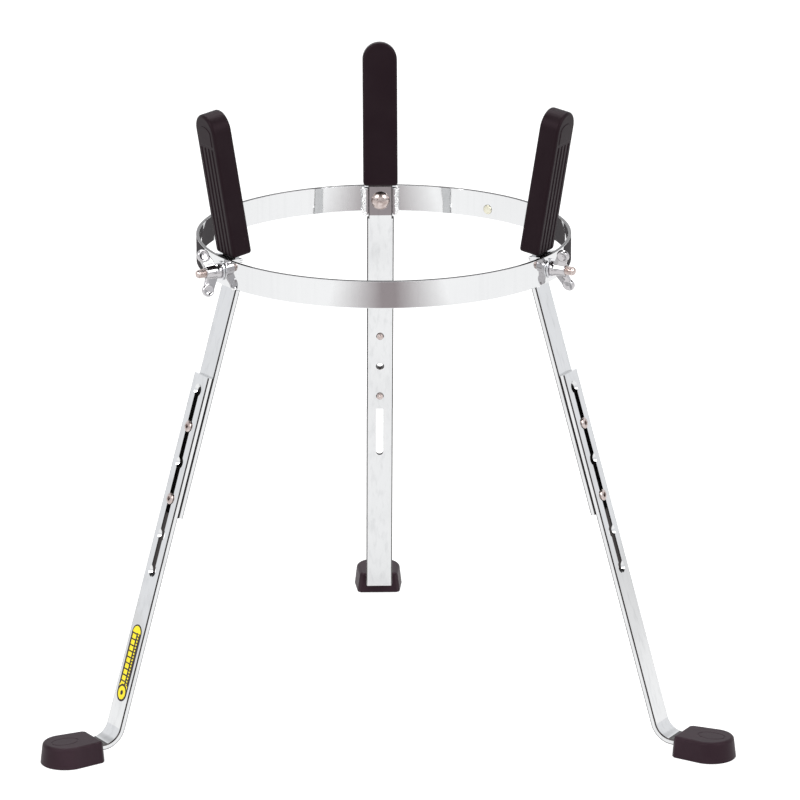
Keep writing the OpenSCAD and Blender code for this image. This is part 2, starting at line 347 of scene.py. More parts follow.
class Value:
    """A shader value that can be used in ordinary arithmetic."""

    def __init__(self, shader, socket):
        self.shader = shader
        self.socket = socket

    def maths(self, operation, first, second=0.0):
        node = self.shader.add("ShaderNodeMath", {"operation": operation}, {0: first, 1: second})
        return Value(self.shader, node.outputs[0])

    def __add__(self, other):
        return self.maths("ADD", self, other)

    def __radd__(self, other):
        return self.maths("ADD", other, self)

    def __sub__(self, other):
        return self.maths("SUBTRACT", self, other)

    def __rsub__(self, other):
        return self.maths("SUBTRACT", other, self)

    def __mul__(self, other):
        return self.maths("MULTIPLY", self, other)

    def __rmul__(self, other):
        return self.maths("MULTIPLY", other, self)

    def __truediv__(self, other):
        return self.maths("DIVIDE", self, other)

    def __abs__(self):
        return self.maths("ABSOLUTE", self)

    def __pow__(self, other):
        return self.maths("POWER", self, other)

    def above(self, limit):
        return self.maths("GREATER_THAN", self, limit)

    def below(self, limit):
        return self.maths("LESS_THAN", self, limit)

    def at_least(self, limit):
        return self.maths("MAXIMUM", self, limit)

    def at_most(self, limit):
        return self.maths("MINIMUM", self, limit)

    def wrapped(self, length):
        return self.maths("FLOORED_MODULO", self, length)


class Shader:
    """A material with one Principled shader, and short calls for the nodes round it."""

    def __init__(self, name, **settings):
        self.material = bpy.data.materials.new(name)
        self.material.use_nodes = True
        self.tree = self.material.node_tree
        self.tree.nodes.clear()
        self.surface = self.add("ShaderNodeBsdfPrincipled", {}, {})
        output = self.add("ShaderNodeOutputMaterial", {}, {})
        self.tree.links.new(self.surface.outputs[0], output.inputs["Surface"])
        for key, value in settings.items():
            self.set(key.replace("_", " ").title().replace("Ior", "IOR"), value)

    def add(self, kind, settings, inputs):
        node = self.tree.nodes.new(kind)
        for key, value in settings.items():
            setattr(node, key, value)
        for key, value in inputs.items():
            self.feed(node.inputs[key], value)
        return node

    def feed(self, socket, value):
        if isinstance(value, Value):
            self.tree.links.new(value.socket, socket)
        else:
            socket.default_value = value

    def set(self, name, value):
        self.feed(self.surface.inputs[name], value)

    def coordinates(self, output="Object"):
        node = self.add("ShaderNodeTexCoord", {}, {})
        return Value(self, node.outputs[output])

    def attribute(self, name):
        return Value(self, self.add("ShaderNodeAttribute", {"attribute_name": name}, {}).outputs["Fac"])

    def stretched(self, vector, scale):
        node = self.add("ShaderNodeMapping", {}, {"Vector": vector, "Scale": scale})
        return Value(self, node.outputs[0])

    def noise(self, vector, scale, detail=3.0, roughness=0.5):
        inputs = {"Vector": vector, "Scale": scale, "Detail": detail, "Roughness": roughness}
        return Value(self, self.add("ShaderNodeTexNoise", {}, inputs).outputs[0])

    def ramp(self, factor, low, high, from_low, from_high):
        inputs = {"Value": factor, "From Min": from_low, "From Max": from_high, "To Min": low, "To Max": high}
        return Value(self, self.add("ShaderNodeMapRange", {"clamp": True}, inputs).outputs[0])

    def mix(self, factor, first, second):
        node = self.add("ShaderNodeMix", {"data_type": "RGBA"}, {"Factor": factor})
        self.feed(node.inputs[6], first)
        self.feed(node.inputs[7], second)
        return Value(self, node.outputs[2])

    def bump(self, height, strength, distance):
        inputs = {"Height": height, "Strength": strength, "Distance": distance}
        node = self.add("ShaderNodeBump", {}, inputs)
        self.set("Normal", Value(self, node.outputs[0]))

    def parts(self, vector):
        node = self.add("ShaderNodeSeparateXYZ", {}, {"Vector": vector})
        return [Value(self, out) for out in node.outputs]


def polished_chrome(
    name="polished_chrome", dullest=0.1, ripple=0.02, tint=(0.64, 0.645, 0.65, 1), streak=0.4
):
    """Mirror-bright plate with the faint waves of the buffed steel under it and a few fine wipes."""
    shader = Shader(name, metallic=1.0)
    place = shader.coordinates()
    cloud = shader.noise(place, 22.0, 4.0)
    wipes = shader.noise(shader.stretched(place, (240.0, 240.0, 9.0)), 1.0, 2.0)
    specks = shader.noise(place, 900.0, 2.0)
    haze = shader.ramp(cloud, 0.0, 1.0, 0.45, 0.8) * 0.5 + shader.ramp(wipes, 0.0, 1.0, 0.5, 0.75) * 0.7
    # Painted shade: the per-face attribute mixes the plate towards near black inside bores, along rounded
    # edges and on the ring's top face, and adds roughness there.
    painted_shade = shader.attribute("painted_shade")
    plate = shader.mix(haze * streak, tint, (0.44, 0.445, 0.455, 1))
    shader.set("Base Color", shader.mix(painted_shade, plate, (0.05, 0.045, 0.045, 1)))
    shader.set("Roughness", 0.035 + haze * (dullest - 0.035) + painted_shade * 0.2)
    shader.bump(shader.noise(place, 38.0, 2.0) + specks * 0.01, 0.35, ripple * MM * 10)
    return shader.material


def warm_nickel(name="warm_nickel", clean=(0.56, 0.49, 0.47, 1), stained=(0.34, 0.27, 0.25, 1), dull=0.14):
    """Slightly stained, duller plate of the bolts."""
    shader = Shader(name, metallic=1.0)
    place = shader.coordinates()
    stain = shader.ramp(shader.noise(place, 260.0, 4.0), 0.0, 1.0, 0.35, 0.7)
    shader.set("Base Color", shader.mix(stain, clean, stained))
    shader.set("Roughness", dull + stain * 0.16)
    shader.bump(shader.noise(place, 1500.0, 3.0), 0.15, 0.1 * MM)
    return shader.material


def zinc_steel():
    shader = Shader("zinc_steel", metallic=1.0)
    place = shader.coordinates()
    patch = shader.noise(place, 420.0, 4.0)
    shader.set("Base Color", shader.mix(patch, (0.74, 0.74, 0.75, 1), (0.60, 0.60, 0.62, 1)))
    shader.set("Roughness", 0.12 + patch * 0.18)
    shader.bump(shader.noise(place, 1800.0, 3.0), 0.12, 0.1 * MM)
    return shader.material


def weld_metal():
    shader = Shader("weld_metal", metallic=1.0)
    place = shader.coordinates()
    patch = shader.ramp(shader.noise(place, 700.0, 4.0), 0.0, 1.0, 0.35, 0.7)
    shader.set("Base Color", shader.mix(patch, (0.85, 0.85, 0.86, 1), (0.62, 0.61, 0.60, 1)))
    shader.set("Roughness", 0.08 + patch * 0.16)
    shader.bump(shader.noise(place, 1100.0, 3.0), 0.5, 0.35 * MM)
    return shader.material


def moulded_rubber(name, dark, light, roughness, dust, sheen):
    """Moulded black rubber: fine grain, a soft sheen and a little dust on it."""
    shader = Shader(name)
    place = shader.coordinates()
    patch = shader.noise(place, 30.0, 5.0)
    grain = shader.noise(place, 1600.0, 3.0)
    patches = shader.ramp(patch, 0.0, 1.0, 0.4, 0.75)
    film = patches * dust + shader.ramp(grain, 0.0, 1.0, 0.6, 0.8) * dust * 0.4
    shader.set("Base Color", shader.mix(film, dark, light))
    shader.set("Roughness", roughness + patch * 0.14)
    shader.set("Specular IOR Level", sheen)
    shader.set("Specular Tint", (1.0, 0.74, 0.85, 1))
    shader.bump(grain * 0.6 + patch * 0.4, 0.25, 0.12 * MM)
    return shader.material


def printed_label():
    """Yellow film with a dark rim, rows of plain blocks in place of print and a plain roundel at its foot."""
    shader = Shader("printed_label")
    across, along, _ = shader.parts(shader.coordinates("UV"))
    half = LABEL_LENGTH / 2 / MM
    radius = LABEL_WIDTH / 2 / MM
    x = (across - 0.5) * (2 * radius)
    y = (along - 0.5) * (2 * half)
    past = (abs(y) - (half - radius)).at_least(0.0)
    rim = ((x * x + past * past) ** 0.5).above(radius - 1.3)
    panel = abs(y - 4.0).below(half - radius - 3.5)
    wide_blocks = abs(x + 2.4).below(3.1) * (y.wrapped(5.6)).below(4.3)
    fine_blocks = abs(x - 4.0).below(1.0) * (y.wrapped(2.9)).below(1.7)
    down = y + (half - radius)
    reach = (x * x + down * down) ** 0.5
    roundel = reach.below(radius) * reach.above(radius - 1.9)
    dot = reach.below(2.2)
    ink = (rim + panel * (1.0 - wide_blocks - fine_blocks) + roundel + dot).at_most(1.0)
    fade = shader.noise(shader.coordinates(), 300.0, 3.0)
    yellow = shader.mix(fade, (0.83, 0.70, 0.012, 1), (0.74, 0.58, 0.008, 1))
    shader.set("Base Color", shader.mix(ink, yellow, (0.018, 0.010, 0.012, 1)))
    shader.set("Roughness", 0.34 + fade * 0.12)
    shader.set("Specular IOR Level", 0.2)
    shader.bump(fade, 0.1, 0.05 * MM)
    return shader.material


CHROME = polished_chrome()
RING_CHROME = polished_chrome("ring_chrome", dullest=0.06, tint=(0.66, 0.665, 0.67, 1), streak=0.12)
BRIGHT = polished_chrome("cast_chrome", dullest=0.2, ripple=0.05, tint=(0.46, 0.445, 0.455, 1), streak=0.5)
NICKEL = warm_nickel()
RIVET_METAL = warm_nickel("rivet_metal", (0.72, 0.70, 0.58, 1), (0.60, 0.57, 0.45, 1), 0.3)
STEEL = zinc_steel()
WELD = weld_metal()
PAD_RUBBER = moulded_rubber(
    "pad_rubber", (0.0045, 0.0014, 0.0026, 1), (0.010, 0.006, 0.0075, 1), 0.44, 0.5, 0.15
)
FOOT_RUBBER = moulded_rubber(
    "foot_rubber", (0.0125, 0.0055, 0.0085, 1), (0.028, 0.016, 0.021, 1), 0.46, 0.6, 0.2
)
LABEL = printed_label()


# ---- ring, rivet and sockets ----

def make_ring():
    edge = 0.7 * MM
    low, high = RING_BOTTOM + edge, RING_TOP - edge
    inner, outer = RING_INSIDE + edge, RING_RADIUS - edge
    corners = [((outer, high), 0), ((inner, high), 90), ((inner, low), 180), ((outer, low), 270)]
    outline = [p for centre, start in corners for p in round_corner(centre, edge, start, start + 90, 3)]
    bm = bmesh.new()
    verts = [bm.verts.new((radius, 0, height)) for radius, height in outline]
    edges = [bm.edges.new((verts[k - 1], verts[k])) for k in range(len(verts))]
    bmesh.ops.spin(
        bm, geom=verts + edges, cent=(0, 0, 0), axis=(0, 0, 1), dvec=(0, 0, 0),
        angle=math.tau, steps=288, use_merge=True, use_duplicate=False
    )
    ring = make_object("ring_band", bm)
    holes = []
    for direction in STATIONS.values():
        bore = rod(RING_INSIDE - 4 * MM, RING_RADIUS + 4 * MM, THREAD_RADIUS + FREE_GAP)
        holes.append(make_object("hole", bore, bolt_frame(direction)))
    bore = rod(RING_INSIDE - 4 * MM, RING_RADIUS + 4 * MM, 2.6 * MM)
    holes.append(make_object("hole", bore, rivet_frame()))
    carve(ring, holes, sharp=30)
    # Painted dark reflection: the ring's upward-facing faces are marked for the painted shade, so they come
    # out near black.
    mark_painted_shade(ring, Matrix.Identity(4), lambda spot, normal: 0.95 if normal.z > 0.3 else 0.0)
    finish_piece(ring, "frame", "chrome_plate", RING_CHROME, "ring")


def make_rivet():
    """Flat-domed rivet whose rim casts a thin dark line on the ring."""
    seat = RING_INSIDE - 0.2 * MM
    profile = [(seat - 1.2 * MM, 0), (seat - 1.18 * MM, 2.0 * MM), (seat - 1.0 * MM, 3.4 * MM)]
    profile += [(seat - 0.8 * MM, 4.0 * MM), (seat - 0.4 * MM, 4.4 * MM), (seat, 4.5 * MM), (seat, 2.5 * MM)]
    tail = RING_RADIUS - 0.2 * MM
    profile += [(RING_RADIUS - 0.4 * MM, 2.5 * MM), (tail, 2.3 * MM), (tail, 0)]
    rivet = make_object("rivet", turned(profile, 48), rivet_frame(), sharp=50)
    finish_piece(rivet, "frame", "nickel", RIVET_METAL, "ring_rivet")


def make_socket(name, direction):
    """Channel whose flanges stand either side of the bar's neck."""
    inner = (NECK_WIDTH + 0.6 * MM) / 2
    outer = inner + 3 * MM
    low = RING_BOTTOM - 1.5 * MM
    high = RING_TOP
    front = SOCKET_FACE - 7 * MM
    channel = block((front, -outer, low), (RING_INSIDE + 2 * MM, outer, high))
    soften(channel, 1.2 * MM, 3, keep=lambda e: max(v.co.x for v in e.verts) < RING_INSIDE)
    channel = make_object("channel_" + name, channel, station(direction))
    mouth = block((front - 2 * MM, -inner, low - 2 * MM), (SOCKET_FACE, inner, high + 2 * MM))
    mouth = make_object("mouth", mouth, station(direction))
    around = bmesh.new()
    profile = [(RING_INSIDE - 0.02 * MM, low - 4 * MM), (RING_INSIDE - 0.02 * MM, high + 4 * MM)]
    profile += [(RING_INSIDE + 9 * MM, high + 4 * MM), (RING_INSIDE + 9 * MM, low - 4 * MM)]
    verts = [around.verts.new((r, 0, z)) for r, z in profile]
    edges = [around.edges.new((verts[k - 1], verts[k])) for k in range(4)]
    bmesh.ops.spin(
        around, geom=verts + edges, cent=(0, 0, 0), axis=(0, 0, 1), dvec=(0, 0, 0),
        angle=math.tau, steps=288, use_merge=True, use_duplicate=False
    )
    around = make_object("around", around)
    bore = rod(SOCKET_FACE - 4 * MM, RING_RADIUS, THREAD_RADIUS + FREE_GAP)
    bore = make_object("bore", bore, bolt_frame(direction))
    carve(channel, [mouth, around, bore], sharp=30)
    finish_piece(channel, "frame", "chrome_plate", CHROME, "socket_" + name)
    for side in (-1, 1):
        make_weld("weld_" + name + ("_a" if side < 0 else "_b"), direction, side, inner, outer)


def make_weld(name, direction, side, inner, outer):
    """Lumpy beads down the joint between a flange and the ring, and splashed over the flange's front."""
    chance = random.Random(name)
    bm = bmesh.new()
    for middle_x, middle_y, low, high in (
        (RING_INSIDE - 1.7 * MM, outer + 0.5 * MM, 1.6, 2.2),
        (SOCKET_FACE - 5.6 * MM, (inner + outer) / 2 + 0.9 * MM, 1.3, 1.8)
    ):
        height = RING_BOTTOM - 1.0 * MM
        while height < RING_TOP - 1.6 * MM:
            lump = bmesh.ops.create_icosphere(bm, subdivisions=2, radius=chance.uniform(low, high) * MM)
            x = middle_x + chance.uniform(-0.5, 0.5) * MM
            y = side * (middle_y + chance.uniform(-0.1, 0.7) * MM)
            bmesh.ops.translate(bm, verts=lump["verts"], vec=(x, y, height))
            height += chance.uniform(1.2, 2.4) * MM
    bead = make_object(name, bm, station(direction), sharp=80)
    remesh = bead.modifiers.new("fuse", "REMESH")
    remesh.mode = "VOXEL"
    remesh.voxel_size = 0.35 * MM
    smooth = bead.modifiers.new("flow", "SMOOTH")
    smooth.factor = 0.6
    smooth.iterations = 2
    settle(bead, 80)
    finish_piece(bead, "frame", "chrome_plate", WELD)


# ---- bars ----

class Bar:
    """A flat bar grown from its cross-section: straight lengths, bends and changes of width."""

    def __init__(self, width, thickness, face_x, start_z):
        """Starts with a level cross-section whose outer side is at x = face_x."""
        self.bm = bmesh.new()
        bmesh.ops.create_grid(self.bm, x_segments=1, y_segments=1, size=0.5)
        bmesh.ops.scale(self.bm, vec=(thickness, width, 1), verts=self.bm.verts)
        bmesh.ops.bevel(
            self.bm, geom=self.bm.verts[:], offset=BAR_EDGE, segments=3, profile=0.5,
            affect="VERTICES", material=-1
        )
        bmesh.ops.translate(self.bm, verts=self.bm.verts, vec=(face_x - thickness / 2, 0, start_z))
        self.face = next(iter(self.bm.faces))
        self.started = False
        self.heading = Vector((0, 0, 1))

    def grow(self):
        """Draws the end face out and clears the old one away, but keeps the first, which closes the bar."""
        old = self.face
        grown = bmesh.ops.extrude_face_region(self.bm, geom=[old])
        self.face = next(item for item in grown["geom"] if isinstance(item, bmesh.types.BMFace))
        if self.started and old.is_valid:
            bmesh.ops.delete(self.bm, geom=[old], context="FACES_ONLY")
        self.started = True

    def straight(self, length, steps=1):
        for _ in range(steps):
            self.grow()
            bmesh.ops.translate(self.bm, verts=self.face.verts, vec=self.heading * (length / steps))

    def bend(self, centre, angle, steps=8):
        """Turns about a Y axis through centre, given as (x, z)."""
        turn = Matrix.Rotation(angle / steps, 3, "Y")
        for _ in range(steps):
            self.grow()
            bmesh.ops.rotate(self.bm, verts=self.face.verts, cent=(centre[0], 0, centre[1]), matrix=turn)
            self.heading = turn @ self.heading

    def lean_out(self):
        """Sets what has been grown so far at the leg's lean, under the ring."""
        lean = Matrix.Translation((CLAMP_FACE, 0, LEG_KINK)) @ Matrix.Rotation(-LEG_LEAN, 4, "Y")
        for vert in self.bm.verts:
            vert.co = lean @ vert.co
        self.heading = Matrix.Rotation(-LEG_LEAN, 3, "Y") @ self.heading

    def taper(self, ratio, length):
        """A short shoulder down to a narrower width."""
        self.straight(length)
        bmesh.ops.scale(self.bm, vec=(1, ratio, 1), verts=self.face.verts)


# turns one cutter a little against another about their axis, so that none of their edges coincide
ASKEW_DEGREES = 2.3
ASKEW = Matrix.Rotation(math.radians(ASKEW_DEGREES), 4, "X")


def tube_tool(place, start, end, radius, end_radius=None):
    return make_object("tool", rod(start, end, radius, 48, end_radius), place)


def make_upper_leg(name, direction):
    """Leaning length with three screw holes, upright neck in the socket, and the arm inside the pad."""
    trim = KINK_RADIUS * math.tan(LEG_LEAN / 2)
    bar = Bar(BAR_WIDTH, BAR_THICKNESS, 0, -UPPER_LENGTH)
    bar.straight(UPPER_LENGTH - trim - NECK_STEP)
    bar.taper(NECK_WIDTH / BAR_WIDTH, NECK_STEP)
    bar.lean_out()
    bar.bend((CLAMP_FACE + KINK_RADIUS, LEG_KINK + trim), LEG_LEAN, 8)
    arm_trim = KINK_RADIUS * math.tan(ARM_LEAN / 2)
    bar.straight(ARM_KINK - LEG_KINK - trim - arm_trim)
    bar.bend((CLAMP_FACE + KINK_RADIUS, ARM_KINK - arm_trim), ARM_LEAN, 6)
    bar.straight(ARM_LENGTH - arm_trim)
    piece = make_object("upper_bar_" + name, bar.bm, station(direction), sharp=40)
    tools = []
    clear = SCREW_RADIUS + RUNNING_GAP
    for setting, radius in ((1, clear), (2, SPARE_RADIUS), (3, clear)):
        place = screw_frame(direction, setting)
        tools.append(tube_tool(place, -BAR_THICKNESS - MM, MM, radius))
        flare = 0.6 * MM
        start, end = -BAR_THICKNESS - flare, -BAR_THICKNESS + 2 * flare
        tools.append(tube_tool(place @ ASKEW, start, end, radius + 2 * flare, radius - flare))
    half = SQUARE_HOLE / 2
    square = block((CLAMP_FACE - 2 * BAR_THICKNESS, -half, -half), (CLAMP_FACE + BAR_THICKNESS, half, half))
    tools.append(make_object("tool", square, bolt_frame(direction)))
    carve(piece, tools, sharp=40)
    # Painted shade in the screw holes and painted dark reflection lines along the bar's rounded corners.
    mark_painted_shade(piece, leg_frame(direction), upper_painted_shade)
    finish_piece(piece, "upper_leg_" + name, "chrome_plate", CHROME, "upper_leg_" + name)


def make_lower_leg(name, direction):
    """Slotted bar with a countersink at each height setting, bent level into the foot."""
    face = SLIDE_GAP + BAR_THICKNESS
    centre_z = TONGUE_HEIGHT + BEND_RADIUS
    drop = LEG_KINK - centre_z
    centre_x = CLAMP_FACE + (SLIDE_GAP + BEND_RADIUS + drop * math.sin(LEG_LEAN)) / math.cos(LEG_LEAN)
    tongue = FOOT_START + 34 * MM - centre_x
    straight = (centre_x - CLAMP_FACE) * math.sin(LEG_LEAN) + drop * math.cos(LEG_LEAN) - LOWER_START
    bar = Bar(BAR_WIDTH, BAR_THICKNESS, face, -LOWER_START)
    bar.heading = Vector((0, 0, -1))
    bar.straight(straight)
    bar.lean_out()
    bar.bend((centre_x, centre_z), -(math.pi / 2 - LEG_LEAN), 24)
    bar.straight(tongue)
    piece = make_object("lower_bar_" + name, bar.bm, station(direction), sharp=40)
    tools = []
    last = FIRST_SETTING + (SETTINGS - 1) * PITCH
    slot_points = [
        (x, SLOT_WIDTH / 2 * sine(a), z + SLOT_WIDTH / 2 * cosine(a))
        for x in (-MM, face + MM)
        for z, first in ((-FIRST_SETTING, -90), (-last, 90))
        for a in range(first, first + 181, 10)
    ]
    tools.append(make_object("tool", hull(slot_points), leg_frame(direction)))
    depth = (COUNTERSINK - SLOT_WIDTH) / 2
    for setting in range(SETTINGS):
        place = screw_frame(direction, setting)
        flare = 0.4 * MM
        cone = rod(face - depth - flare, face + flare, SLOT_WIDTH / 2 - flare, 48, COUNTERSINK / 2 + flare)
        tools.append(make_object("tool", cone, place @ ASKEW))
    carve(piece, tools, sharp=40)
    # Painted shade in the slot and painted dark reflection lines along the bar's rounded corners.
    mark_painted_shade(piece, leg_frame(direction), lower_painted_shade)
    finish_piece(piece, "lower_leg_" + name, "chrome_plate", CHROME, "lower_leg_" + name)


# ---- rubber pads and feet ----

def make_pad(name, direction):
    """Sleeve with a round top, upright grooves down its outer face and a plain raised panel above them."""
    half = PAD_WIDTH / 2
    corner = 3 * MM
    straight = PAD_START + PAD_LENGTH - half
    arc = [(half * cosine(a), straight + half * sine(a)) for a in range(0, 181, 6)]
    outline = arc + [
        (side * (half - corner + corner * cosine(a)), PAD_START + corner - corner * sine(a))
        for side in (-1, 1)
        for a in range(0, 91, 15)
    ]
    low, high = -BAR_THICKNESS - PAD_INNER, PAD_OUTER
    bm = hull([(x, y, z) for x in (low, high) for y, z in outline])
    soften(bm, PAD_EDGE, 5, keep=lambda e: e.calc_face_angle(0) > math.radians(60))
    pad = make_object("rubber_pad_" + name, bm, arm_frame(direction), sharp=50)
    grooves = []
    top = PAD_START + PAD_LENGTH - 32 * MM
    for k in range(GROOVES):
        y = (k - (GROOVES - 1) / 2) * GROOVE_PITCH
        points = [
            (high + 0.35 * MM + GROOVE_RADIUS * cosine(a), y + GROOVE_RADIUS * sine(a), z)
            for z in (PAD_START - 5 * MM, top)
            for a in range(0, 360, 20)
        ]
        tip = [
            (high + 0.35 * MM + GROOVE_RADIUS * cosine(a) * cosine(b),
             y + GROOVE_RADIUS * sine(a) * cosine(b),
             top + GROOVE_RADIUS * sine(b))
            for b in (30, 60, 88)
            for a in range(0, 360, 30)
        ]
        grooves.append(make_object("groove", hull(points + tip), arm_frame(direction)))
    carve(pad, grooves, sharp=50)
    finish_piece(pad, "upper_leg_" + name, "pad_rubber", PAD_RUBBER, "arm_pad_" + name)
    panel_low = top + 3.2 * MM
    panel_high = PAD_START + PAD_LENGTH - 10 * MM
    panel_half = half - 5.2 * MM
    points = []
    crown = 6 * MM
    for x, inset in ((high - 0.6 * MM, 0), (high + 0.5 * MM, 0.7 * MM)):
        reach = panel_half - inset
        for side in (-1, 1):
            points += [(x, side * reach, panel_low + inset), (x, side * reach, panel_high - crown)]
        for a in range(0, 181, 12):
            points.append((x, reach * cosine(a), panel_high - crown + (crown - inset) * sine(a)))
    bm = hull(points)
    soften(bm, 0.35 * MM, 2)
    panel = make_object("pad_panel_" + name, bm, arm_frame(direction), sharp=50)
    finish_piece(panel, "upper_leg_" + name, "pad_rubber", PAD_RUBBER)


def foot_outline(inset, height):
    radius = FOOT_WIDTH / 2 - inset - 0.02 * MM
    centre = FOOT_START + FOOT_LENGTH - FOOT_WIDTH / 2
    heel = FOOT_HEEL / 2 - inset
    arc = [(centre + radius * cosine(a), radius * sine(a)) for a in range(-90, 91, 6)]
    start = FOOT_START + inset * 0.3
    corner = 3 * MM
    back = [(start + corner, side * heel) for side in (-1, 1)]
    back += [(start, side * (heel - corner)) for side in (-1, 1)]
    return [(x, y, height) for x, y in arc + back]


def make_foot(name, direction):
    bm = hull(foot_outline(0, 0.6 * MM) + foot_outline(0.6 * MM, 0) + foot_outline(FOOT_TAPER, FOOT_HEIGHT))
    soften(bm, FOOT_EDGE, 5, keep=lambda e: min(v.co.z for v in e.verts) > FOOT_HEIGHT - MM)
    heel_end = FOOT_START + 4 * MM
    long_edge = 6 * MM

    def at_heel(edge):
        return max(v.co.x for v in edge.verts) < heel_end and edge.calc_length() > long_edge

    soften(bm, 1.2 * MM, 3, keep=at_heel)
    foot = make_object("rubber_foot_" + name, bm, station(direction), sharp=45)
    centre = FOOT_START + FOOT_LENGTH * 0.58
    steps = 48
    oval = bmesh.new()
    bmesh.ops.create_circle(oval, cap_ends=False, segments=10, radius=0.45 * MM)
    bmesh.ops.rotate(oval, verts=oval.verts, cent=(0, 0, 0), matrix=Matrix.Rotation(math.pi / 2, 3, "X"))
    bmesh.ops.translate(oval, verts=oval.verts, vec=(9.5 * MM, 0, 0))
    bmesh.ops.spin(
        oval, geom=oval.verts[:] + oval.edges[:], cent=(0, 0, 0), axis=(0, 0, 1), dvec=(0, 0, 0),
        angle=math.tau, steps=steps, use_merge=True, use_duplicate=False
    )
    bmesh.ops.scale(oval, vec=(1.35, 0.85, 1), verts=oval.verts)
    bmesh.ops.translate(oval, verts=oval.verts, vec=(centre, 0, FOOT_HEIGHT + 0.1 * MM))
    groove = make_object("groove", oval, station(direction))
    pocket = block(
        (FOOT_START - 2 * MM, -BAR_WIDTH / 2 - 0.15 * MM, TONGUE_HEIGHT - 0.15 * MM),
        (FOOT_START + 36 * MM, BAR_WIDTH / 2 + 0.15 * MM, TONGUE_HEIGHT + BAR_THICKNESS + 0.15 * MM)
    )
    pocket = make_object("pocket", pocket, station(direction))
    carve(foot, [groove, pocket], sharp=45)
    finish_piece(foot, "lower_leg_" + name, "foot_rubber", FOOT_RUBBER, "foot_" + name)


# ---- fasteners ----

def thread(start, end, radius, pitch):
    """Crests and roots of a thread along +X."""
    root = radius - 0.55 * pitch
    turns = int((end - start) / pitch)
    points = []
    for k in range(turns):
        x = start + k * pitch
        points += [(x, root), (x + 0.42 * pitch, radius), (x + 0.58 * pitch, radius)]
    return points + [(start + turns * pitch, root)]


def make_bolt(name, direction):
    """Carriage bolt: mushroom head inside the basket, square neck in the bar, thread out past the nut."""
    head_face = CLAMP_FACE - BAR_THICKNESS
    h, r = BOLT_HEAD_HEIGHT, BOLT_HEAD_RADIUS
    lip = 0.7 * MM
    dome = ((r - 0.3 * MM) ** 2 + (h - lip) ** 2) / (2 * (h - lip))
    top = head_face - h
    sweep = math.degrees(math.asin((r - 0.3 * MM) / dome))
    crown = round_corner((top + dome, 0), dome, 180, 180 - sweep, 12)
    crown[0] = (top, 0)
    rim = round_corner((head_face - lip / 2, r - lip / 2), lip / 2, 110, 10, 4)
    root = THREAD_RADIUS - 0.3 * MM
    shank = [(head_face, 5 * MM), (head_face, root), (CLAMP_FACE + 2 * MM, root)]
    tip = [(BOLT_TIP - 0.6 * MM, THREAD_RADIUS - 0.8 * MM), (BOLT_TIP, THREAD_RADIUS - 1.3 * MM)]
    tip.append((BOLT_TIP, 0))
    ridges = thread(CLAMP_FACE + 2.5 * MM, BOLT_TIP - MM, THREAD_RADIUS, THREAD_PITCH)
    profile = crown + rim + shank + ridges + tip
    bolt = make_object("clamp_bolt_" + name, turned(profile, 56), bolt_frame(direction), sharp=30)
    half = 4 * MM
    neck = block((head_face - 0.3 * MM, -half, -half), (CLAMP_FACE, half, half))
    soften(neck, 0.5 * MM, 2)
    neck = make_object("neck", neck, bolt_frame(direction))
    carve(bolt, [neck], "UNION", sharp=30)
    finish_piece(bolt, "upper_leg_" + name, "nickel", NICKEL, "carriage_bolt_" + name)


def make_washer(name, direction):
    edge = 0.35 * MM
    low, high = RING_RADIUS + RUNNING_GAP, NUT_START
    bore = THREAD_RADIUS + RUNNING_GAP
    profile = [(low, bore), (low, WASHER_RADIUS - edge)]
    profile += round_corner((high - edge, WASHER_RADIUS - edge), edge, 90, 0, 4)
    profile += [(high, bore + edge), (high - edge, bore), (low, bore)]
    washer = make_object("flat_washer_" + name, turned(profile, 64), bolt_frame(direction), sharp=30)
    finish_piece(washer, "washer_" + name, "steel", STEEL, "washer_" + name)


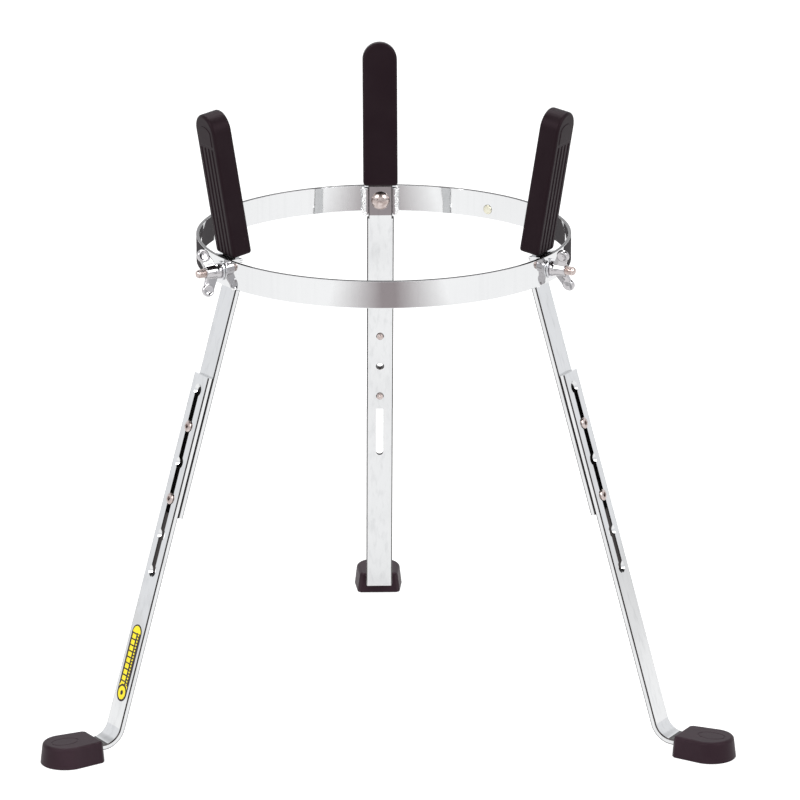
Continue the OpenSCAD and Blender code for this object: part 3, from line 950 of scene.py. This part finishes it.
def make_wing_nut(name, direction):
    """Cast nut: a flared barrel, two leaning wings and a dished thumb ear at the end of each."""
    base, tip = 7 * MM, 5.8 * MM
    end = NUT_START + NUT_LENGTH
    barrel = [(NUT_START, 0), (NUT_START, base - 0.4 * MM), (NUT_START + 0.4 * MM, base)]
    barrel += [(NUT_START + 2.6 * MM, base - 0.3 * MM), (NUT_START + 4.5 * MM, base - 1.0 * MM)]
    barrel += [(end - 1.5 * MM, tip - 0.2 * MM), (end - 0.4 * MM, tip - 0.4 * MM)]
    barrel += [(end, tip - 0.9 * MM), (end, 0)]
    nut = make_object("thumb_nut_" + name, turned(barrel, 56))
    ear_x = NUT_START + EAR_AXIAL
    parts = []
    for side in (-1, 1):
        web = []
        for x, z, thick in (
            (NUT_START + 3.2 * MM, 3.0 * MM, 4.4 * MM), (NUT_START + 3.6 * MM, 6.4 * MM, 4.2 * MM),
            (ear_x - 5.1 * MM, EAR_OFFSET + 1.0 * MM, 2.8 * MM),
            (ear_x - 3.0 * MM, EAR_OFFSET + 3.4 * MM, 2.6 * MM),
            (ear_x + 3.6 * MM, EAR_OFFSET - 3.6 * MM, 2.8 * MM), (end - 0.9 * MM, 5.0 * MM, 4.2 * MM),
            (end - 0.9 * MM, 3.0 * MM, 4.4 * MM)
        ):
            web += [(x, -thick / 2, side * z), (x, thick / 2, side * z)]
        parts.append(make_object("web", hull(web)))
        edge = 0.9 * MM
        half = EAR_THICKNESS / 2
        ear = [(-half + 1.3 * MM, 0), (-half + 1.1 * MM, 2.0 * MM)]
        ear += [(-half + 0.15 * MM, 4.0 * MM), (-half, 4.5 * MM)]
        ear += [(-half + 0.1 * MM, 5.2 * MM), (-half + edge, EAR_RADIUS)]
        ear += [(half - edge, EAR_RADIUS), (half - 0.1 * MM, 5.2 * MM)]
        ear += [(half, 4.5 * MM), (half - 0.15 * MM, 4.0 * MM)]
        ear += [(half - 1.1 * MM, 2.0 * MM), (half - 1.3 * MM, 0)]
        disc = turned(ear, 48)
        place = Matrix.Translation((ear_x, 0, side * EAR_OFFSET)) @ Matrix.Rotation(math.pi / 2, 4, "Z")
        parts.append(make_object("ear", disc, place))
    carve(nut, parts, "UNION", sharp=60)
    remesh = nut.modifiers.new("cast", "REMESH")
    remesh.mode = "VOXEL"
    remesh.voxel_size = 0.3 * MM
    smooth = nut.modifiers.new("flow", "SMOOTH")
    smooth.factor = 0.5
    smooth.iterations = 12
    settle(nut, 60)
    bore = rod(NUT_START - 2 * MM, end + 2 * MM, THREAD_RADIUS + 0.05 * MM)
    mouth = rod(end - 0.7 * MM, end + 0.3 * MM, THREAD_RADIUS, 48, THREAD_RADIUS + 1.0 * MM)
    carve(nut, [make_object("bore", bore), make_object("mouth", mouth)], sharp=50)
    nut.data.transform(bolt_frame(direction, NUT_TURN[name]))
    finish_piece(nut, "wing_nut_" + name, "chrome_plate", BRIGHT, "wing_nut_" + name)


def make_height_screw(name, direction, setting, level):
    """Button-headed screw with a hexagon socket, its thread coming out inside the upper bar."""
    head = SLIDE_GAP + BAR_THICKNESS + 0.1 * MM
    top = head + SCREW_HEAD_HEIGHT
    start = -BAR_THICKNESS - SCREW_TIP
    r = SCREW_HEAD_RADIUS
    tip = [(start, 0), (start, 1.7 * MM), (start + 0.7 * MM, SCREW_RADIUS - 0.5 * MM)]
    crest = thread(start + 0.8 * MM, SLIDE_GAP, SCREW_RADIUS, 1.0 * MM)
    cap = [(head, SCREW_RADIUS - 0.4 * MM), (head, r - 0.3 * MM)]
    cap += [(head + 0.25 * MM, r), (head + 0.7 * MM, r - 0.08 * MM), (head + 1.25 * MM, r - 0.55 * MM)]
    cap += [(top - 0.15 * MM, r - 1.35 * MM), (top, r - 2.1 * MM), (top, 0)]
    screw = make_object("button_screw_" + name + "_" + level, turned(tip + crest + cap, 48), sharp=30)
    depth = 1.3 * MM
    key = bmesh.new()
    bmesh.ops.create_cone(
        key, cap_ends=True, segments=6, radius1=2.31 * MM, radius2=2.31 * MM, depth=2 * depth,
        matrix=Matrix.Translation((top, 0, 0)) @ Matrix.Rotation(math.pi / 2, 4, "Y")
    )
    carve(screw, [make_object("key", key)], sharp=30)
    screw.data.transform(screw_frame(direction, setting))
    body = "height_screw_" + name + "_" + level
    finish_piece(screw, body, "steel", NICKEL, body)


def make_label():
    """Thin film on the front of the left leg, with its own flat map for the print."""
    straight = (LABEL_LENGTH - LABEL_WIDTH) / 2
    radius = LABEL_WIDTH / 2
    low = SLIDE_GAP + BAR_THICKNESS
    rim = [
        (radius * cosine(a), (straight if a <= 180 else -straight) + radius * sine(a))
        for a in list(range(0, 181, 6)) + list(range(180, 361, 6))
    ]
    bm = hull([(x, y, z) for x in (low, low + 0.25 * MM) for y, z in rim])
    soften(bm, 0.06 * MM, 2)
    layer = bm.loops.layers.uv.new("print")
    for face in bm.faces:
        for loop in face.loops:
            loop[layer].uv = (loop.vert.co.y / LABEL_WIDTH + 0.5, loop.vert.co.z / LABEL_LENGTH + 0.5)
    bmesh.ops.translate(bm, verts=bm.verts, vec=(0, 0, -LABEL_CENTRE))
    label = make_object("label_film", bm, leg_frame(STATIONS["left"]), sharp=30)
    finish_piece(label, "lower_leg_left", "label_paper", LABEL, "leg_label")


# ---- studio ----

def floor_paper():
    """White paper lit evenly from below as well, so that it stays pale all the way back."""
    shader = Shader("floor_paper", base_color=(0.3, 0.3, 0.3, 1), roughness=0.95, specular_ior_level=0.0)
    shader.set("Emission Color", (1, 1, 1, 1))
    shader.set("Emission Strength", 0.88)
    return shader.material


def flag_material():
    """Dull black that thins out towards the sides of the card, so its mirror image has soft edges."""
    shader = Shader("flag_cloth", base_color=(0.27, 0.235, 0.24, 1), roughness=0.9)
    across, _, _ = shader.parts(shader.coordinates("UV"))
    shader.set("Alpha", shader.ramp(abs(across - 0.5), 1.0, 0.0, 0.06, 0.5))
    return shader.material


def make_card(name, size, place, material):
    """A flat studio card."""
    bm = bmesh.new()
    bmesh.ops.create_grid(bm, x_segments=1, y_segments=1, size=0.5, calc_uvs=False)
    layer = bm.loops.layers.uv.new("flat")
    for face in bm.faces:
        for loop in face.loops:
            loop[layer].uv = (loop.vert.co.x + 0.5, loop.vert.co.y + 0.5)
    bmesh.ops.scale(bm, vec=(size[0], size[1], 1), verts=bm.verts)
    card = make_object(name, bm, place)
    card.data.materials.append(material)
    return card


def make_light(name, place, aim, size, power):
    data = bpy.data.lights.new(name, "AREA")
    data.shape = "RECTANGLE"
    data.size, data.size_y = size
    data.energy = power
    light = bpy.data.objects.new(name, data)
    light.location = place
    light.rotation_euler = (Vector(aim) - Vector(place)).to_track_quat("-Z", "Y").to_euler()
    bpy.context.scene.collection.objects.link(light)


def make_world():
    """Pale walls under a dark ceiling, which the plated parts mirror."""
    world = bpy.data.worlds.new("studio")
    world.use_nodes = True
    nodes, links = world.node_tree.nodes, world.node_tree.links
    place = nodes.new("ShaderNodeTexCoord")
    split = nodes.new("ShaderNodeSeparateXYZ")
    links.new(place.outputs["Generated"], split.inputs[0])
    fall = nodes.new("ShaderNodeMapRange")
    for key, value in {"From Min": 0.5, "From Max": 0.68, "To Min": 1.15, "To Max": 0.05}.items():
        fall.inputs[key].default_value = value
    links.new(split.outputs[2], fall.inputs["Value"])
    back = nodes["Background"]
    back.inputs["Color"].default_value = (0.97, 0.98, 1.0, 1)
    links.new(fall.outputs[0], back.inputs["Strength"])
    bpy.context.scene.world = world


def make_studio():
    make_card("floor", (14, 14), Matrix.Identity(4), floor_paper())
    cloth = flag_material()
    plain_cloth = Shader("dark_cloth", base_color=(0.03, 0.025, 0.027, 1), roughness=0.9).material
    flags = [make_card("front_flag", (1.9, 2.0), Matrix.Translation((0.05, -2.05, 0.004)), cloth)]
    for side in (-1, 1):
        lie = Matrix.Translation((side * 0.72, 1.45, 0.004))
        flags.append(make_card("side_flag", (0.8, 0.6), lie, plain_cloth))
    for flag in flags:
        flag.visible_camera = False
        flag.visible_shadow = False
        flag.visible_diffuse = False
    make_light("key", (-2.4, -2.6, 3.0), (0, 0, 0.3), (2.0, 2.0), 100)
    make_light("fill", (2.6, -2.2, 2.8), (0, 0, 0.3), (2.2, 2.2), 80)
    make_light("top", (0, 1.2, 3.4), (0, 0, 0.2), (3.0, 2.0), 95)
    make_world()


def make_camera():
    data = bpy.data.cameras.new("camera")
    data.lens = 270.8
    data.sensor_width = 36
    data.clip_end = 60
    camera = bpy.data.objects.new("camera", data)
    camera.location = (-0.099, -5.268, 1.862)
    yaw, pitch = math.radians(1.234), math.radians(-16.64)
    heading = Vector((math.sin(yaw) * math.cos(pitch), math.cos(yaw) * math.cos(pitch), math.sin(pitch)))
    level = heading.to_track_quat("-Z", "Y").to_matrix()
    camera.rotation_euler = (level @ Matrix.Rotation(math.radians(-0.113), 3, "Z")).to_euler()
    bpy.context.scene.collection.objects.link(camera)
    bpy.context.scene.camera = camera


# ---- the stand ----

make_studio()
make_camera()
make_ring()
make_rivet()
for name, direction in STATIONS.items():
    make_socket(name, direction)
    make_upper_leg(name, direction)
    make_lower_leg(name, direction)
    make_pad(name, direction)
    make_foot(name, direction)
    make_bolt(name, direction)
    make_washer(name, direction)
    make_wing_nut(name, direction)
    make_height_screw(name, direction, 1, "high")
    make_height_screw(name, direction, 3, "low")
make_label()

bpy.context.scene.view_settings.view_transform = "Standard"
